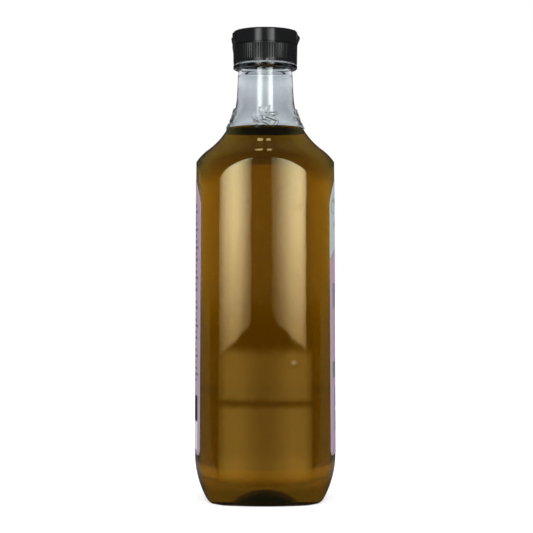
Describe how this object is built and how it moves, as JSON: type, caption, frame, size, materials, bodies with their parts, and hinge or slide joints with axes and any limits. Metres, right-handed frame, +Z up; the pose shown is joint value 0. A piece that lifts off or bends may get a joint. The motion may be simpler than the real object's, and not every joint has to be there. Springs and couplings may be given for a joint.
{
  "type": "olive oil bottle",
  "caption": "Square-shouldered clear plastic bottle with convex arched panels, filled with olive oil, closed by a black flip-top cap; a paper label on two opposite sides.",
  "frame": {"origin": "middle of the foot, on the surface the bottle stands on", "axes": "+Z up along the bottle, labels face +X and -X, bare panels face -Y and +Y, lid hinge on the -X side, thumb tab on the +X side"},
  "size_m": [0.0788, 0.0786, 0.2604],
  "materials": {
    "clear_pet": "clear blow-moulded PET, glossy",
    "olive_oil": "clear dark golden liquid",
    "black_polypropylene": "injection-moulded, semi-gloss",
    "label_paper": "coated label paper, satin"
  },
  "bodies": {
    "filled_bottle": {"bottle": "clear_pet", "oil": "olive_oil", "closure_base": "black_polypropylene", "label_front": "label_paper", "label_back": "label_paper"},
    "lid": {"closure_lid": "black_polypropylene"}
  },
  "joints": [
    {"name": "lid_hinge", "type": "hinge", "parent": "filled_bottle", "child": "lid", "pos_m": [-0.01885, 0, 0.2553], "axis": [0, -1, 0], "range_deg": [0, 135]}
  ]
}
